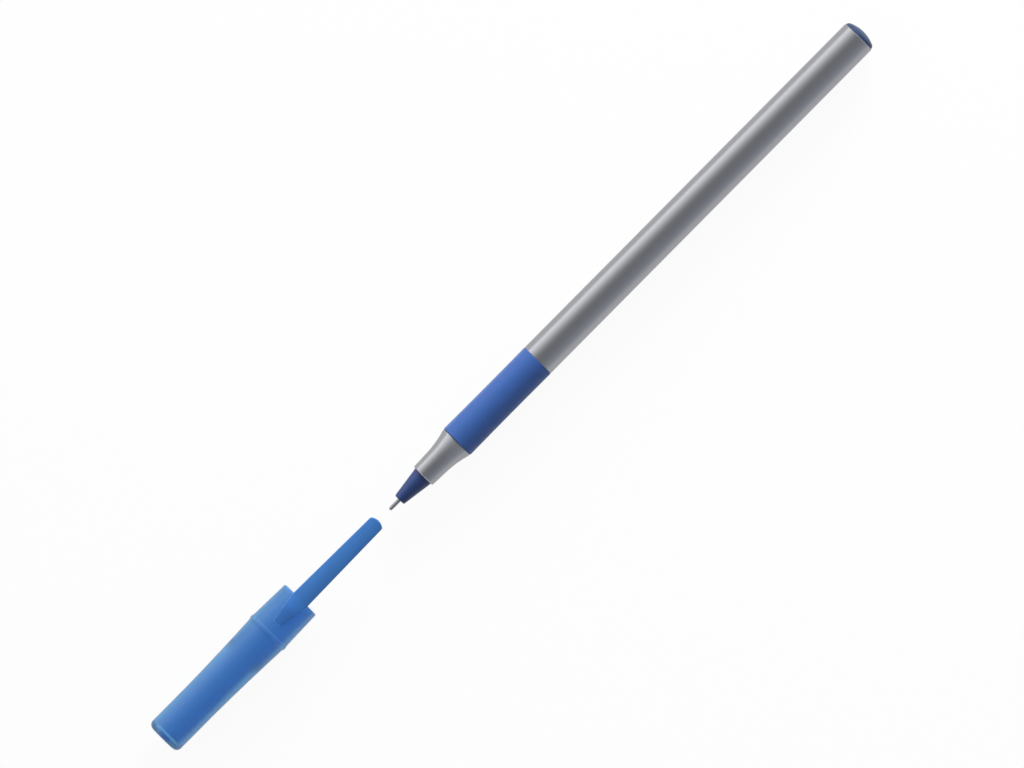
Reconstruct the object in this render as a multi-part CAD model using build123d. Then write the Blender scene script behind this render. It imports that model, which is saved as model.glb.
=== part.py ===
from build123d import *
import math
import os

os.makedirs("parts", exist_ok=True)

# Stick ballpoint pen, lying along X with its cap off and in line in front of the point.
# Sizes are in mm. Every piece is turned about the X axis with the tip of the ball at x = 0 and the rear
# at +x. The last lines move the row so that it stands on z = 0, centred in x and y.

# Lengths along the pen, from the tip of the ball to the rear
needle_reach = 3.0          # needle in front of the tip holder
holder_cone_length = 7.3    # visible cone of the tip holder
nose_length = 10.5          # bare nose of the barrel in front of the grip
grip_length = 24.8          # recess for the grip sleeve
body_length = 99.0          # barrel behind the grip

# Clearances
fit_gap = 0.02              # round a piece that is pushed into another
ball_gap = 0.02             # round the ball in its socket
ink_gap = 0.02              # round and between the steps of the ink
cap_run_gap = 0.10          # between the mouth of the cap and the grip sleeve
cap_seat_gap = 0.05         # between the cap's bore and the flare of the nose, cap closed
clip_gap = 0.43             # between the clip and the grip sleeve, cap closed

# Ball and needle tip
ball_d = 0.7
ball_shown = 0.18           # part of the ball in front of the crimped lip
lip_wall = 0.07
crimp_length = 0.8
needle_d = 0.9
needle_channel_d = 0.45
shank_d = 1.6
shank_channel_d = 1.0

# Ink tube and ink
tube_d = 3.2
tube_wall = 0.55
tube_rear_gap = 4.0         # from the rear end of the tube to the end plug
ink_fill_share = 0.86       # part of the tube's length that is filled

# Tip holder
holder_front_d = 2.75
holder_front_edge = 0.2     # bevel
holder_front_wall = 2.4     # from the holder's front to the needle's shoulder
spigot_wall = 0.45
spigot_length = 9.0
spigot_lead = 0.3
socket_depth = 6.0          # how far the ink tube goes into the holder
holder_shoulder = 0.32      # the cone's rear edge stands out this far over the spigot

# Barrel
barrel_d = 8.0
barrel_wall = 1.1
barrel_front_edge = 0.1     # bevel behind the grip
barrel_rear_edge = 0.1      # bevel
nose_wall = 0.76            # at the front of the nose
nose_front_edge = 0.2       # bevel
nose_draft = 0.14           # growth of the nose's radius along its straight stretch
nose_straight_length = 4.2
lip_length = 0.4            # land at the end of the flare, in front of the grip
lip_setback = 0.05          # the lip's radius is smaller than the barrel's by this much
lip_rear_edge = 0.1         # bevel
recess_wall = 0.8           # barrel under the grip
bore_cone_length = 3.0      # each widening of the bore

# Grip sleeve
grip_wall = 0.72
grip_front_swell = 0.07     # radius over the barrel's, at the front edge
grip_rear_swell = 0.04
grip_waist = 0.06           # hollow of the outer face, halfway along
grip_front_edge = 0.15      # bevel
grip_rear_edge = 0.1        # bevel

# End plug
plug_head_setback = 0.05    # the head's edge lies inside the barrel's end by this much
plug_head_edge = 1.0        # rounding, which starts at the barrel's end
plug_dome_round = 8.0       # radius of the dome
plug_skirt_length = 6.0
plug_skirt_wall = 0.9
plug_skirt_lead = 0.4
air_groove_width = 0.8
air_groove_depth = 0.3

# Cap, from its rim at the open end to its closed end
cap_length = 42.5
cap_overlap = 16.0          # length of grip inside the closed cap
cap_rim_wall = 0.55
cap_rim_edge = 0.2          # bevel
cap_collar_wall = 0.8       # at the bead, where the collar is widest
cap_collar_length = 9.3
cap_bead_width = 1.4
cap_bead_height = 0.15
cap_bead_bevel = 0.45       # length of each slope beside the bead's flat land
cap_body_wall = 0.73        # just behind the bead
cap_flare_length = 19.8     # hollow flare from the bead to the plain end
cap_flare_sag = 0.085
cap_end_d = 8.6
cap_end_edge = 1.3          # rounding
cap_end_wall = 1.2
cap_wall = 0.85             # round the plain end
cap_cone_length = 2.2       # inner cone, down to the bore that stops on the flare of the nose
cap_bore_edge = 0.5         # bevel
cap_vent_d = 3.0

# Clip, from the cap's rim to its free end
clip_reach = 24.2
clip_tip_gap = 3.3          # from the clip's end to the ball, as the pieces lie
clip_thickness = 1.15
clip_root_width = 4.25      # at the rim
clip_root_round = 6.0       # rounding between the sides of the ramp and of the blade
clip_end_width = 3.55
clip_end_bow = 0.7          # how far the middle of the free end stands out
clip_corner = 0.5           # rounding between the blade's sides and its end
clip_side_edge = 0.3        # rounding
clip_end_drop = 0.2         # the blade's top falls by this much to its end
ramp_start_width = 2.0
ramp_root_length = 7.6      # length of ramp and blade on the collar
ramp_length = 4.5
ramp_sink = 0.08            # the ramp's foot lies under the collar's widest radius by this much
ramp_round = 6.0            # rounding between the ramp and the blade's top
nub_length = 3.0            # bump under the free end that presses on the pocket
nub_height = 0.2
nub_end_gap = 1.6
clip_overrun = 1.0          # the turned ring is longer than the plan that cuts it

# Places along the pen
x_holder = needle_reach
x_nose = x_holder + holder_cone_length
x_grip = x_nose + nose_length
x_body = x_grip + grip_length
x_end = x_body + body_length
x_shoulder = x_holder + holder_front_wall
x_spigot = x_nose + spigot_length
x_tube = x_spigot - socket_depth
x_plug = x_end - plug_skirt_length
x_tube_end = x_plug - tube_rear_gap
x_lip = x_grip - lip_length
x_flare = x_nose + nose_straight_length

# Radii of the pen, from the inside out
ball_r = ball_d / 2
cup_r = ball_r + ball_gap
needle_r = needle_d / 2
channel_r = needle_channel_d / 2
shank_r = shank_d / 2
shank_channel_r = shank_channel_d / 2
tube_r = tube_d / 2
tube_bore_r = tube_r - tube_wall
socket_r = tube_r + fit_gap
spigot_r = socket_r + spigot_wall
holder_front_r = holder_front_d / 2
holder_r = spigot_r + holder_shoulder
nose_bore_r = spigot_r + fit_gap
nose_r = nose_bore_r + nose_wall
nose_rear_r = nose_r + nose_draft
barrel_r = barrel_d / 2
barrel_bore_r = barrel_r - barrel_wall
barrel_end_r = barrel_r - barrel_rear_edge
nose_lip_r = barrel_r - lip_setback
grip_front_r = barrel_r + grip_front_swell
grip_rear_r = barrel_r + grip_rear_swell
recess_r = barrel_r - grip_wall
recess_bore_r = recess_r - recess_wall
plug_head_r = barrel_end_r - plug_head_setback
plug_skirt_r = barrel_bore_r - fit_gap
plug_inner_r = plug_skirt_r - plug_skirt_wall

# The edge of the plug's head and its dome are two arcs that run into each other
edge_centre_r = plug_head_r - plug_head_edge
edge_lean = math.sqrt((plug_dome_round - plug_head_edge) ** 2 - edge_centre_r ** 2)
dome_share = plug_dome_round / (plug_dome_round - plug_head_edge)
x_dome_centre = x_end - edge_lean
x_tail = x_dome_centre + plug_dome_round

# Cap and clip: places and radii
x_rim = -(clip_reach + clip_tip_gap)
x_cap_end = x_rim - cap_length
x_bead = x_rim - cap_collar_length
x_bead_end = x_bead - cap_bead_width
x_flare_end = x_bead_end - cap_flare_length
x_cap_floor = x_cap_end + cap_end_wall
x_clip_end = x_rim + clip_reach
mouth_r = grip_front_r + cap_run_gap
rim_r = mouth_r + cap_rim_wall
collar_r = mouth_r + cap_collar_wall
bead_r = collar_r + cap_bead_height
cap_body_r = mouth_r + cap_body_wall
cap_end_r = cap_end_d / 2
cap_bore_r = cap_end_r - cap_wall
vent_r = cap_vent_d / 2
clip_under_r = grip_front_r + clip_gap
clip_top_r = clip_under_r + clip_thickness

# The flare of the nose is an arc that goes on from the nose's draft. The front edge of the cap's bore comes
# to this arc when the cap is closed.
draft_angle = math.atan2(nose_draft, nose_straight_length)
flare_run = x_lip - x_flare
flare_rise = nose_lip_r - nose_rear_r
flare_lift = flare_rise * math.cos(draft_angle) - flare_run * math.sin(draft_angle)
flare_round = (flare_run ** 2 + flare_rise ** 2) / (2 * flare_lift)
flare_centre_x = x_flare - flare_round * math.sin(draft_angle)
flare_centre_r = nose_rear_r + flare_round * math.cos(draft_angle)
seat_depth = flare_centre_r - cap_bore_r + cap_seat_gap
x_seat = flare_centre_x + math.sqrt(flare_round ** 2 - seat_depth ** 2)
cap_travel = x_grip + cap_overlap - x_rim
x_cone_end = x_seat - cap_travel
x_cone = x_cone_end + cap_cone_length


def outline(*lines):
    """Face inside lines that join end to end."""
    return make_face([edge for line in lines for edge in line.edges()])


def turned(*lines):
    """Solid turned about the X axis from an outline of (x, radius) points."""
    return revolve(outline(*lines), Axis.X)


def outer_edges(shape, least_r):
    """Edges that run along the outside of a clip piece, without the seam down its middle."""
    picked = []
    for edge in shape.edges():
        middle = edge.center()
        size = edge.bounding_box().size
        off_seam = abs(middle.Y) > fit_gap or size.Y > fit_gap
        if math.hypot(middle.Y, middle.Z) > least_r and off_seam and size.X > fit_gap:
            picked.append(edge)
    return picked


def keep_solid(shape):
    """The one solid of a result."""
    solids = shape.solids()
    assert len(solids) == 1, len(solids)
    return solids[0]


# Ball
writing_ball = Pos(ball_r, 0, 0) * Sphere(ball_r)

# Needle tip: the lip is crimped over the ball's widest line, and the channel feeds it from behind
lip_inner_r = math.sqrt(cup_r ** 2 - (ball_r - ball_shown) ** 2)
lip_r = lip_inner_r + lip_wall
cup_depth = math.sqrt(cup_r ** 2 - channel_r ** 2)
cup_front = (ball_shown, lip_inner_r)
cup_back = (ball_r + cup_depth, channel_r)
needle_tip = turned(
    ThreePointArc(cup_front, (ball_r, cup_r), cup_back),
    Polyline(
        cup_back,
        (x_shoulder, channel_r),
        (x_shoulder, shank_channel_r),
        (x_tube, shank_channel_r),
        (x_tube, shank_r),
        (x_shoulder, shank_r),
        (x_shoulder, needle_r),
        (ball_shown + crimp_length, needle_r),
        (ball_shown, lip_r),
        cup_front,
    ),
)

# Tip holder: cone, spigot in the nose, and the rear socket for the ink tube
tip_holder = turned(
    Polyline(
        (x_nose, holder_r),
        (x_nose, spigot_r),
        (x_spigot - spigot_lead, spigot_r),
        (x_spigot, spigot_r - spigot_lead),
        (x_spigot, socket_r),
        (x_tube, socket_r),
        (x_tube, shank_r + fit_gap),
        (x_shoulder, shank_r + fit_gap),
        (x_shoulder, needle_r + fit_gap),
        (x_holder, needle_r + fit_gap),
        (x_holder, holder_front_r - holder_front_edge),
        (x_holder + holder_front_edge, holder_front_r),
        close=True,
    )
)

# Ink tube and the ink in it, which reaches forward through the needle to the back of the ball
ink_tube = turned(
    Polyline(
        (x_tube, tube_bore_r),
        (x_tube, tube_r),
        (x_tube_end, tube_r),
        (x_tube_end, tube_bore_r),
        close=True,
    )
)
x_ink = ball_d + ball_gap + ink_gap
x_ink_end = x_tube + ink_fill_share * (x_tube_end - x_tube)
ink_column = turned(
    Polyline(
        (x_ink, 0),
        (x_ink, channel_r - ink_gap),
        (x_shoulder + ink_gap, channel_r - ink_gap),
        (x_shoulder + ink_gap, shank_channel_r - ink_gap),
        (x_tube + ink_gap, shank_channel_r - ink_gap),
        (x_tube + ink_gap, tube_bore_r - ink_gap),
        (x_ink_end, tube_bore_r - ink_gap),
        (x_ink_end, 0),
        close=True,
    )
)

# Barrel: nose, recess under the grip and body in one moulding, bored wider towards the rear
flare_front = (x_flare, nose_rear_r)
flare_rear = (x_lip, nose_lip_r)
barrel = turned(
    Polyline(
        (x_nose, nose_bore_r),
        (x_nose, nose_r - nose_front_edge),
        (x_nose + nose_front_edge, nose_r),
        flare_front,
    ),
    TangentArc(flare_front, flare_rear, tangent=(x_flare - x_nose, nose_draft)),
    Polyline(
        flare_rear,
        (x_grip - lip_rear_edge, nose_lip_r),
        (x_grip, nose_lip_r - lip_rear_edge),
        (x_grip, recess_r),
        (x_body, recess_r),
        (x_body, barrel_r - barrel_front_edge),
        (x_body + barrel_front_edge, barrel_r),
        (x_end - barrel_rear_edge, barrel_r),
        (x_end, barrel_end_r),
        (x_end, barrel_bore_r),
        (x_body + bore_cone_length, barrel_bore_r),
        (x_body, recess_bore_r),
        (x_spigot + bore_cone_length, recess_bore_r),
        (x_spigot, nose_bore_r),
        (x_nose, nose_bore_r),
    ),
)

# Grip sleeve, with a shallow waist
grip_front = (x_grip + grip_front_edge, grip_front_r)
grip_rear = (x_body - grip_rear_edge, grip_rear_r)
grip_middle = ((x_grip + x_body) / 2, (grip_front_r + grip_rear_r) / 2 - grip_waist)
grip_sleeve = turned(
    ThreePointArc(grip_front, grip_middle, grip_rear),
    Polyline(
        grip_rear,
        (x_body, grip_rear_r - grip_rear_edge),
        (x_body, recess_r + fit_gap),
        (x_grip, recess_r + fit_gap),
        (x_grip, grip_front_r - grip_front_edge),
        grip_front,
    ),
)

# End plug: low dome, hollow skirt, and an air groove that lets the ink run down
head_edge = (x_end, plug_head_r)
dome_edge = (x_dome_centre + edge_lean * dome_share, edge_centre_r * dome_share)
end_plug = turned(
    Polyline(
        (x_tail, 0),
        (x_end - plug_skirt_wall, 0),
        (x_end - plug_skirt_wall, plug_inner_r),
        (x_plug, plug_inner_r),
        (x_plug, plug_skirt_r - plug_skirt_lead),
        (x_plug + plug_skirt_lead, plug_skirt_r),
        (x_end, plug_skirt_r),
        head_edge,
    ),
    TangentArc(head_edge, dome_edge, tangent=(plug_head_edge, 0)),
    TangentArc((x_tail, 0), dome_edge, tangent=(0, plug_head_r)),
)
groove_along = Box(
    plug_skirt_length + air_groove_depth,
    air_groove_width,
    air_groove_depth,
    align=(Align.MIN, Align.CENTER, Align.MAX),
)
groove_across = Box(
    air_groove_depth,
    air_groove_width,
    barrel_r,
    align=(Align.MIN, Align.CENTER, Align.MAX),
)
end_plug -= Pos(x_plug, 0, air_groove_depth - plug_skirt_r) * groove_along
end_plug -= Pos(x_end, 0, air_groove_depth - plug_skirt_r) * groove_across

# Cap: plain closed end, hollow flare, bead, and a collar that narrows to the rim
flare_back = (x_flare_end, cap_end_r)
flare_front = (x_bead_end, cap_body_r)
flare_middle = (
    (x_flare_end + x_bead_end) / 2,
    (cap_end_r + cap_body_r) / 2 - cap_flare_sag,
)
cap = turned(
    FilletPolyline(
        (x_cap_end, vent_r),
        (x_cap_end, cap_end_r),
        flare_back,
        radius=[cap_end_edge],
    ),
    ThreePointArc(flare_back, flare_middle, flare_front),
    Polyline(
        flare_front,
        (x_bead_end + cap_bead_bevel, bead_r),
        (x_bead - cap_bead_bevel, bead_r),
        (x_bead, collar_r),
        (x_rim - cap_rim_edge, rim_r),
        (x_rim, rim_r - cap_rim_edge),
        (x_rim, mouth_r + cap_rim_edge),
        (x_rim - cap_rim_edge, mouth_r),
        (x_cone, mouth_r),
        (x_cone_end, cap_bore_r),
        (x_cap_floor + cap_bore_edge, cap_bore_r),
        (x_cap_floor, cap_bore_r - cap_bore_edge),
        (x_cap_floor, vent_r),
        (x_cap_end, vent_r),
    ),
)

# Clip: a ring turned with the ramp, the blade and the nub underneath, cut to the clip's plan
x_nub_end = x_clip_end - nub_end_gap
x_nub = x_nub_end - nub_length
nub_middle = ((x_nub + x_nub_end) / 2, clip_under_r - nub_height)
x_ramp = x_rim - ramp_root_length
x_ring_end = x_clip_end + clip_overrun
clip_ring = turned(
    FilletPolyline(
        (x_ramp, clip_under_r),
        (x_ramp, collar_r - ramp_sink),
        (x_ramp + ramp_length, clip_top_r),
        (x_ring_end, clip_top_r - clip_end_drop),
        (x_ring_end, clip_under_r),
        radius=[0, ramp_round, 0],
    ),
    Polyline((x_ring_end, clip_under_r), (x_nub_end, clip_under_r)),
    ThreePointArc((x_nub_end, clip_under_r), nub_middle, (x_nub, clip_under_r)),
    Polyline((x_nub, clip_under_r), (x_ramp, clip_under_r)),
)
end_corner = (x_clip_end - clip_end_bow, clip_end_width / 2)
clip_plan = outline(
    Polyline(
        (end_corner[0], -end_corner[1]),
        (x_rim, -clip_root_width / 2),
        (x_ramp, -ramp_start_width / 2),
        (x_ramp, ramp_start_width / 2),
        (x_rim, clip_root_width / 2),
        end_corner,
    ),
    ThreePointArc(end_corner, (x_clip_end, 0), (end_corner[0], -end_corner[1])),
)
clip_plan = fillet(clip_plan.vertices().group_by(Axis.X)[1], clip_root_round)
clip_plan = fillet(clip_plan.vertices().group_by(Axis.X)[-1], clip_corner)
clip = clip_ring & extrude(clip_plan, amount=clip_top_r)
clip = fillet(outer_edges(clip, clip_top_r - clip_thickness / 2), clip_side_edge)
cap = cap + clip

# The row stands on z = 0, centred in x and y
tip_x = -(x_cap_end + x_tail) / 2
axis_z = bead_r
row_place = Pos(tip_x, 0, axis_z)

pieces = {
    "barrel": barrel,
    "grip_sleeve": grip_sleeve,
    "end_plug": end_plug,
    "tip_holder": tip_holder,
    "needle_tip": needle_tip,
    "writing_ball": writing_ball,
    "ink_tube": ink_tube,
    "ink_column": ink_column,
    "cap": cap,
}
for name, piece in pieces.items():
    export_step(row_place * keep_solid(piece), f"parts/{name}.step")
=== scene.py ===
import math

import bpy
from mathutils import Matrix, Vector


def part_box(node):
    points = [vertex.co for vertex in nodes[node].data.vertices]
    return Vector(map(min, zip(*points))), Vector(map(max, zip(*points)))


# Stick ballpoint pen with its cap off: camera, light, floor and the finish of each piece.
# Lengths are in metres. The pen lies along X with its point towards -X, and its clip faces +Z.

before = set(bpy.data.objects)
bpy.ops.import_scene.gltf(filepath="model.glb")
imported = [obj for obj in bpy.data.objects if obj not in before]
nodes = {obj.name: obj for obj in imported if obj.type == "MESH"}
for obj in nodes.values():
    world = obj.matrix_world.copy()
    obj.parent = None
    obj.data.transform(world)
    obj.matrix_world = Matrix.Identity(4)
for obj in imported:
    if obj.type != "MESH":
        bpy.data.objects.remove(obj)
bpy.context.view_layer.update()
mm = 0.001
white = (1, 1, 1, 1)

# The axis of the pen, and the two places where the row touches the floor
touch_depth = 0.02 * mm         # points this near to the barrel's lowest one count as touching
ball_low, ball_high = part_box("writing_ball")
axis_z = (ball_low.z + ball_high.z) / 2
cap_points = [v.co for v in nodes["cap"].data.vertices]
cap_foot = min(cap_points, key=lambda p: p.z)
barrel_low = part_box("barrel")[0]
barrel_points = [v.co for v in nodes["barrel"].data.vertices]
barrel_feet = [p for p in barrel_points if p.z < barrel_low.z + touch_depth]
barrel_foot = max(barrel_feet, key=lambda p: p.x)


# Camera: straight above, turned so that the pen points to the lower left

frame_width = 222.4 * mm        # what the picture's long side covers at the height of the axis
frame_centre_y = 0.35 * mm      # the picture's middle lies this far from the axis
pen_angle = math.radians(45.25)
lens_length = 500               # in mm, as the sensor's width; long, for hardly any perspective
sensor_width = 36

camera_data = bpy.data.cameras.new("camera")
camera_data.lens = lens_length
camera_data.sensor_width = sensor_width
camera = bpy.data.objects.new("camera", camera_data)
camera_height = frame_width * lens_length / sensor_width
camera.location = (0, frame_centre_y, axis_z + camera_height)
camera.rotation_euler = (0, 0, -pen_angle)
bpy.context.scene.collection.objects.link(camera)
bpy.context.scene.camera = camera
bpy.context.scene.view_settings.view_transform = "Standard"


# Node helpers

class Nodes:
    """A node tree, with short ways to add nodes and to join them."""

    def __init__(self, tree):
        self.tree = tree

    def put(self, socket, value):
        """Links an input to another node's output, or sets it to a constant."""
        if isinstance(value, bpy.types.NodeSocket):
            self.tree.links.new(value, socket)
        else:
            socket.default_value = value

    def add(self, kind, settings=None, at=None, **inputs):
        """New node. at holds inputs by their place, and the others go by name, with _ for a space."""
        node = self.tree.nodes.new("ShaderNode" + kind)
        for name, value in (settings or {}).items():
            setattr(node, name, value)
        for place, value in (at or {}).items():
            self.put(node.inputs[place], value)
        for name, value in inputs.items():
            self.put(node.inputs[name.replace("_", " ")], value)
        return node

    def math(self, operation, *values):
        return self.add("Math", {"operation": operation}, dict(enumerate(values))).outputs[0]

    def blend(self, share, low, high):
        """Number between low and high. The Mix node has its numbers at places 2 and 3."""
        return self.add("Mix", {"data_type": "FLOAT"}, {0: share, 2: low, 3: high}).outputs[0]

    def blend_colours(self, share, first, second):
        """Colour between two. The Mix node has its colours at places 6 and 7 and gives theirs at 2."""
        return self.add("Mix", {"data_type": "RGBA"}, {0: share, 6: first, 7: second}).outputs[2]

    def ramp(self, value, from_low, from_high, to_low=0.0, to_high=1.0, smooth=False):
        """Value carried from one range over to another, and held at its ends."""
        settings = {"interpolation_type": "SMOOTHSTEP" if smooth else "LINEAR"}
        inputs = {"From_Min": from_low, "From_Max": from_high, "To_Min": to_low, "To_Max": to_high}
        return self.add("MapRange", settings, Value=value, **inputs).outputs[0]


class Finish(Nodes):
    """A material with a Principled shader, whose patterns are laid out in the row's own coordinates."""

    noise_low = 0.3                 # most of a noise lies between these two values
    noise_high = 0.7

    def __init__(self, name, **sockets):
        self.material = bpy.data.materials.new(name)
        self.material.use_nodes = True
        super().__init__(self.material.node_tree)
        self.shader = self.tree.nodes["Principled BSDF"]
        self.place = self.add("TexCoord").outputs["Object"]
        for socket, value in sockets.items():
            self.set(socket, value)

    def set(self, socket, value):
        self.put(self.shader.inputs[socket.replace("_", " ")], value)

    def along(self):
        """Place along the pen."""
        return self.add("SeparateXYZ", Vector=self.place).outputs[0]

    def section(self):
        """Place across the pen: to the side, and up from its axis."""
        parts = self.add("SeparateXYZ", Vector=self.place)
        return parts.outputs[1], self.math("SUBTRACT", parts.outputs[2], axis_z)

    def around(self):
        """Angle about the pen's axis, from -pi to pi, 0 at the top."""
        return self.math("ARCTAN2", *self.section())

    def radius(self):
        """Distance from the pen's axis."""
        squares = [self.math("POWER", offset, 2.0) for offset in self.section()]
        return self.math("SQRT", self.math("ADD", *squares))

    def grain(self, size, detail=2.0, roughness=0.5, stretch=1.0):
        """Noise from 0 to 1 with features of about this size, drawn out along the pen by a factor."""
        place = self.add("Mapping", Vector=self.place, Scale=(1 / stretch, 1, 1)).outputs[0]
        noise = self.add("TexNoise", Vector=place, Scale=1 / size, Detail=detail, Roughness=roughness)
        return noise.outputs[0]

    def line(self, value, centre, half_width):
        """1 at a centre value, falling to 0 at a half width from it."""
        off = self.math("ABSOLUTE", self.math("SUBTRACT", value, centre))
        return self.ramp(off, 0.0, half_width, 1.0, 0.0, smooth=True)

    def shade(self, colour, pattern, unevenness):
        """The colour, made darker and lighter by a share as the pattern goes from 0 to 1."""
        dark = [c * (1 - unevenness) for c in colour] + [1]
        light = [min(c * (1 + unevenness), 1) for c in colour] + [1]
        return self.blend_colours(pattern, dark, light)

    def paint(self, colour, pattern, unevenness):
        self.set("Base Color", self.shade(colour, pattern, unevenness))

    def roughen(self, noise, low, high):
        self.set("Roughness", self.ramp(noise, self.noise_low, self.noise_high, low, high))

    def bump(self, height, depth, strength=1.0):
        node = self.add("Bump", Height=height, Strength=strength, Distance=depth)
        self.set("Normal", node.outputs[0])


# Light: a world that is darkest overhead, brightest low on the pen's upper-left side, which is +Y, and
# white where the camera sees it, and one large soft lamp low towards the rear of the pen

sky_overhead = 0.24
sky_bright_side = 1.80
sky_dim_side = 0.60
bright_falloff = 0.9            # powers by which each side goes over into what is overhead
dim_falloff = 1.2
dim_side_tint = (0.93, 0.97, 1.06, 1)

world = bpy.data.worlds.new("studio")
world.use_nodes = True
bpy.context.scene.world = world
sky = Nodes(world.node_tree)
direction = sky.add("SeparateXYZ", Vector=sky.add("TexCoord").outputs["Generated"])
height = sky.math("MAXIMUM", direction.outputs[2], 0.0)
side_share = sky.ramp(direction.outputs[1], -1.0, 1.0, smooth=True)
falloff = sky.blend(side_share, dim_falloff, bright_falloff)
low_share = sky.math("POWER", sky.math("SUBTRACT", 1.0, height), falloff)
sky_low = sky.blend(side_share, sky_dim_side, sky_bright_side)
sky_light = sky.blend(low_share, sky_overhead, sky_low)
sky_colour = sky.blend_colours(side_share, dim_side_tint, white)
seen = sky.add("LightPath").outputs["Is Camera Ray"]
background = world.node_tree.nodes["Background"]
sky.put(background.inputs["Color"], sky.blend_colours(seen, sky_colour, white))
sky.put(background.inputs["Strength"], sky.blend(seen, sky_light, 1.0))

lamp_distance = 1.1
lamp_azimuth = math.radians(30)     # from the rear of the pen towards its upper-left side
lamp_elevation = math.radians(20)
lamp_width = 0.7
lamp_height = 0.5
lamp_power = 22.0

lamp_data = bpy.data.lights.new("key", "AREA")
lamp_data.shape = "RECTANGLE"
lamp_data.size = lamp_width
lamp_data.size_y = lamp_height
lamp_data.energy = lamp_power
lamp = bpy.data.objects.new("key", lamp_data)
lamp.location = lamp_distance * Vector((
    math.cos(lamp_elevation) * math.cos(lamp_azimuth),
    math.cos(lamp_elevation) * math.sin(lamp_azimuth),
    math.sin(lamp_elevation),
))
lamp.rotation_mode = "QUATERNION"
lamp.rotation_quaternion = lamp.location.to_track_quat("Z", "Y")
lamp.visible_camera = False
lamp.visible_glossy = False
lamp.visible_transmission = False
bpy.context.scene.collection.objects.link(lamp)


# Floor: a flat white sheet, tilted a little to touch both the cap's bead and the rear of the barrel.
# Where it is seen, most of it is a white glow, and the rest is paper that takes the shadow.

floor_half = 2.0
floor_glow_share = 0.94
floor_in_gloss = 0.72           # how bright the glow is in reflections
paper_grey = (0.75, 0.75, 0.75)
paper_grain_size = 0.4 * mm
floor_slope = (barrel_foot.z - cap_foot.z) / (barrel_foot.x - cap_foot.x)


def floor_height(x):
    return cap_foot.z + floor_slope * (x - cap_foot.x)


floor_mesh = bpy.data.meshes.new("floor")
floor_corners = [(x, y, floor_height(x)) for x, y in (
    (-floor_half, -floor_half),
    (floor_half, -floor_half),
    (floor_half, floor_half),
    (-floor_half, floor_half),
)]
floor_mesh.from_pydata(floor_corners, [], [(0, 1, 2, 3)])
floor = bpy.data.objects.new("floor", floor_mesh)
bpy.context.scene.collection.objects.link(floor)

paper = Finish("floor_paper", Roughness=0.9)
paper.paint(paper_grey, paper.grain(paper_grain_size, detail=3.0), unevenness=0.02)
rays = paper.add("LightPath").outputs
shown = paper.math("MAXIMUM", rays["Is Camera Ray"], rays["Is Transmission Ray"])
shown = paper.math("MAXIMUM", shown, rays["Is Glossy Ray"])
glow_share = paper.math("MULTIPLY", shown, floor_glow_share)
glow_strength = paper.blend(rays["Is Glossy Ray"], 1.0, floor_in_gloss)
glow = paper.add("Emission", Color=white, Strength=glow_strength)
surface = paper.add("MixShader", at={0: glow_share, 1: paper.shader.outputs[0], 2: glow.outputs[0]})
paper.put(paper.tree.nodes["Material Output"].inputs["Surface"], surface.outputs[0])
floor_mesh.materials.append(paper.material)


# Finishes

def silver_plastic():
    """Satin silver-grey: fine metal flakes in clear plastic, with faint flow streaks along the barrel."""
    silver = (0.445, 0.452, 0.475)
    flake_size = 0.07 * mm
    flake_share = 0.5           # of the unevenness, which the streaks make up with them
    streak_width = 0.9 * mm
    streak_depth = 0.002 * mm
    gloss_patch = 1.5 * mm
    f = Finish("silver_plastic", Metallic=0.97, IOR=1.5, Coat_Weight=0.15, Coat_Roughness=0.25)
    flakes = f.add("TexVoronoi", Vector=f.place, Scale=1 / flake_size)
    flake_tone = f.add("SeparateColor", Color=flakes.outputs["Color"]).outputs[0]
    streaks = f.grain(streak_width, detail=3.0, stretch=30)
    f.paint(silver, f.blend(flake_share, streaks, flake_tone), unevenness=0.06)
    f.roughen(f.grain(gloss_patch, stretch=6), low=0.30, high=0.31)
    f.bump(streaks, streak_depth)
    return f.material


def soft_grip():
    """Blue rubber with a fine matt skin and slightly uneven colour."""
    blue = (0.029, 0.086, 0.285)
    cloud_size = 2.5 * mm
    skin_size = 0.16 * mm
    skin_depth = 0.010 * mm
    f = Finish("soft_grip", IOR=1.48, Specular_IOR_Level=0.4, Sheen_Weight=0.3, Sheen_Roughness=0.35)
    f.paint(blue, f.grain(cloud_size, detail=3.0), unevenness=0.08)
    skin = f.grain(skin_size, detail=3.0, roughness=0.6)
    f.roughen(skin, low=0.44, high=0.56)
    f.bump(skin, skin_depth, strength=0.6)
    return f.material


# Places on the cap. Its collar narrows from the bead to the rim. The clip rises from the collar and reaches
# past the rim, above the axis. The bore is narrower than every outer face but the closed end's.
collar_length = 9.3 * mm
collar_taper = 0.25 * mm
bead_height = 0.15 * mm
bore_limit_r = 4.24 * mm        # between the widest bore and the narrowest outer face
end_wall = 1.2 * mm
cap_end_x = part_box("cap")[0].x
bore_end_x = cap_end_x + end_wall
rim_x = max(p.x for p in cap_points if p.z < axis_z)
bead_x = rim_x - collar_length
collar_r = axis_z - cap_foot.z - bead_height
rim_r = collar_r - collar_taper


def clip_and_rim_shade_mask(f):
    """1 on the clip and on the edge of the rim, which get painted darker shade, 0 on the rest of the cap.
    """
    soft_step = 0.2 * mm        # length over which one shade goes over into the other
    rim_edge = 0.25 * mm
    rise_low = 0.02 * mm        # the clip's painted darker shade comes in between these heights above the collar
    rise_full = 0.10 * mm
    along = f.along()
    rise = f.math("SUBTRACT", f.radius(), f.ramp(along, bead_x, rim_x, collar_r, rim_r))
    past_bead = f.ramp(along, bead_x, bead_x + soft_step)
    clip_root_shade = f.math("MULTIPLY", past_bead, f.ramp(rise, rise_low, rise_full))
    rim_edge_shade = f.ramp(along, rim_x - rim_edge, rim_x - rim_edge + soft_step)
    return f.math("MAXIMUM", clip_root_shade, rim_edge_shade)


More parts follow.
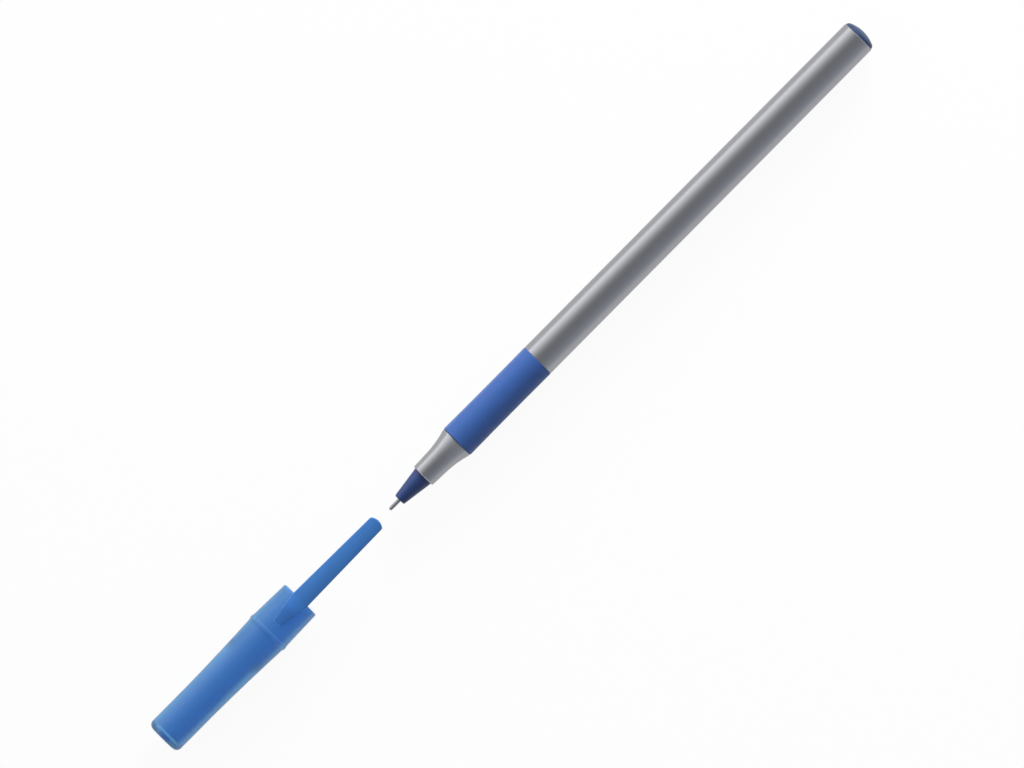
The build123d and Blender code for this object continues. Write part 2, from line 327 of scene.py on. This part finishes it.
def bore_painted_shade_share(f):
    """1 on the inside of the cap, where its painted shade goes, 0 on its outside."""
    half_step = 0.03 * mm
    end_step = 0.1 * mm
    within = f.ramp(f.radius(), bore_limit_r + half_step, bore_limit_r - half_step)
    return f.math("MULTIPLY", within, f.ramp(f.along(), bore_end_x - end_step, bore_end_x))


def cap_plastic():
    """Glossy blue plastic that lets light through its thin wall, less through the clip and the rim. The
    clip, the rim's edge, the closed end and the inside have painted shade in darker blues.
    """
    wall_blue = (0.172, 0.502, 0.950)
    # painted shade: the inside of the cap is a darker blue than its wall
    bore_painted_shade_blue = (0.062, 0.190, 0.480)
    # painted shade: the closed end is a darker blue than the wall
    end_painted_shade_blue = (0.120, 0.360, 0.730)
    # painted shade: the clip, its root on the collar and the rim's edge are a darker blue
    clip_painted_shade_blue = (0.053, 0.202, 0.545)
    unevenness = 0.05
    wall_clearness = 0.85
    clip_clearness = 0.35
    end_start = 0.9 * mm        # the closed end's painted darker shade goes over into the wall's colour between these places
    end_stop = 1.9 * mm
    cloud_size = 4.0 * mm
    gloss_patch = 0.8 * mm
    seam_half_angle = 0.012
    seam_height = 0.02 * mm
    ripple_size = 1.4 * mm
    ripple_share = 0.25         # height of the ripples, as a share of the seam's
    f = Finish("cap_plastic", IOR=1.49, Specular_IOR_Level=0.3)
    cloud = f.grain(cloud_size, stretch=4)
    wall_colour = f.shade(wall_blue, cloud, unevenness)
    bore_painted_shade_colour = f.shade(bore_painted_shade_blue, cloud, unevenness)
    end_painted_shade_colour = f.shade(end_painted_shade_blue, cloud, unevenness)
    clip_painted_shade_colour = f.shade(clip_painted_shade_blue, cloud, unevenness)

    # Light inside the wall leaves it freely. The bore's darker blue is painted shade for the hollow, and
    # only for what meets it from the air
    leaving = f.add("NewGeometry").outputs["Backfacing"]
    bore_painted_shade = f.math("MULTIPLY", bore_painted_shade_share(f), f.math("SUBTRACT", 1.0, leaving))
    end_painted_shade = f.ramp(f.along(), cap_end_x + end_stop, cap_end_x + end_start, smooth=True)
    clip_and_rim_shade_share = clip_and_rim_shade_mask(f)
    shell_colour = f.blend_colours(end_painted_shade, wall_colour, end_painted_shade_colour)
    shell_colour = f.blend_colours(bore_painted_shade, shell_colour, bore_painted_shade_colour)
    f.set("Base Color", f.blend_colours(clip_and_rim_shade_share, shell_colour, clip_painted_shade_colour))
    shell_clearness = f.math("MAXIMUM", wall_clearness, leaving)
    f.set("Transmission Weight", f.blend(clip_and_rim_shade_share, shell_clearness, clip_clearness))
    f.roughen(f.grain(gloss_patch, detail=4.0), low=0.28, high=0.36)

    # The mould's parting line runs along both sides
    seam = f.line(f.math("ABSOLUTE", f.around()), math.pi / 2, seam_half_angle)
    ripple = f.math("MULTIPLY", f.grain(ripple_size, stretch=5), ripple_share)
    f.bump(f.math("ADD", seam, ripple), seam_height)
    return f.material


def dark_plastic():
    """Glossy dark blue plastic of the tip holder."""
    dark_blue = (0.0155, 0.041, 0.146)
    cloud_size = 1.2 * mm
    gloss_patch = 0.3 * mm
    ripple_size = 0.5 * mm
    ripple_depth = 0.004 * mm
    f = Finish("dark_plastic", IOR=1.49)
    f.paint(dark_blue, f.grain(cloud_size, detail=3.0, stretch=2), unevenness=0.12)
    f.roughen(f.grain(gloss_patch, detail=3.0), low=0.26, high=0.36)
    f.bump(f.grain(ripple_size, stretch=3), ripple_depth)
    return f.material


def plug_plastic():
    """Glossy blue plastic of the end plug, with the round mark of its gate in the middle of the dome."""
    slate_blue = (0.0145, 0.030, 0.076)
    cloud_size = 1.2 * mm
    gloss_patch = 0.3 * mm
    gate_r = 0.55 * mm
    gate_half_width = 0.12 * mm
    gate_height = 0.02 * mm
    f = Finish("plug_plastic", IOR=1.49)
    f.paint(slate_blue, f.grain(cloud_size, detail=3.0), unevenness=0.10)
    f.roughen(f.grain(gloss_patch, detail=3.0), low=0.36, high=0.44)
    f.bump(f.line(f.radius(), gate_r, gate_half_width), gate_height)
    return f.material


def turned_metal():
    """Nickel silver with fine lathe lines round the needle."""
    nickel = (0.42, 0.43, 0.46)
    line_pitch = 0.03 * mm
    line_depth = 0.003 * mm
    f = Finish("turned_metal", Metallic=1.0, Anisotropic=0.3)
    turns = f.math("MULTIPLY", f.along(), 1 / line_pitch)
    lines = f.add("TexNoise", {"noise_dimensions": "1D"}, W=turns, Detail=3.0).outputs[0]
    f.paint(nickel, lines, unevenness=0.10)
    f.roughen(lines, low=0.22, high=0.34)
    f.bump(lines, line_depth)
    return f.material


def polished_carbide():
    """Dark polished ball."""
    carbide = (0.42, 0.42, 0.44)
    speck_size = 0.02 * mm
    f = Finish("polished_carbide", Metallic=1.0)
    specks = f.grain(speck_size)
    f.paint(carbide, specks, unevenness=0.08)
    f.roughen(specks, low=0.10, high=0.16)
    return f.material


def milky_tube():
    """Clear milky plastic of the ink tube."""
    milky = (0.82, 0.85, 0.87)
    cloud_size = 1.0 * mm
    f = Finish("milky_tube", IOR=1.5, Transmission_Weight=0.6)
    cloud = f.grain(cloud_size, stretch=8)
    f.paint(milky, cloud, unevenness=0.04)
    f.roughen(cloud, low=0.25, high=0.35)
    return f.material


def ink():
    """Thick dark blue ink."""
    ink_blue = (0.008, 0.014, 0.110)
    cloud_size = 0.8 * mm
    f = Finish("ink", IOR=1.4, Specular_IOR_Level=0.6)
    cloud = f.grain(cloud_size, stretch=5)
    f.paint(ink_blue, cloud, unevenness=0.15)
    f.roughen(cloud, low=0.08, high=0.16)
    return f.material


finishes = {
    "barrel": silver_plastic(),
    "grip_sleeve": soft_grip(),
    "end_plug": plug_plastic(),
    "tip_holder": dark_plastic(),
    "needle_tip": turned_metal(),
    "writing_ball": polished_carbide(),
    "ink_tube": milky_tube(),
    "ink_column": ink(),
    "cap": cap_plastic(),
}
for name, finish in finishes.items():
    for slot in nodes[name].material_slots:
        slot.material = finish
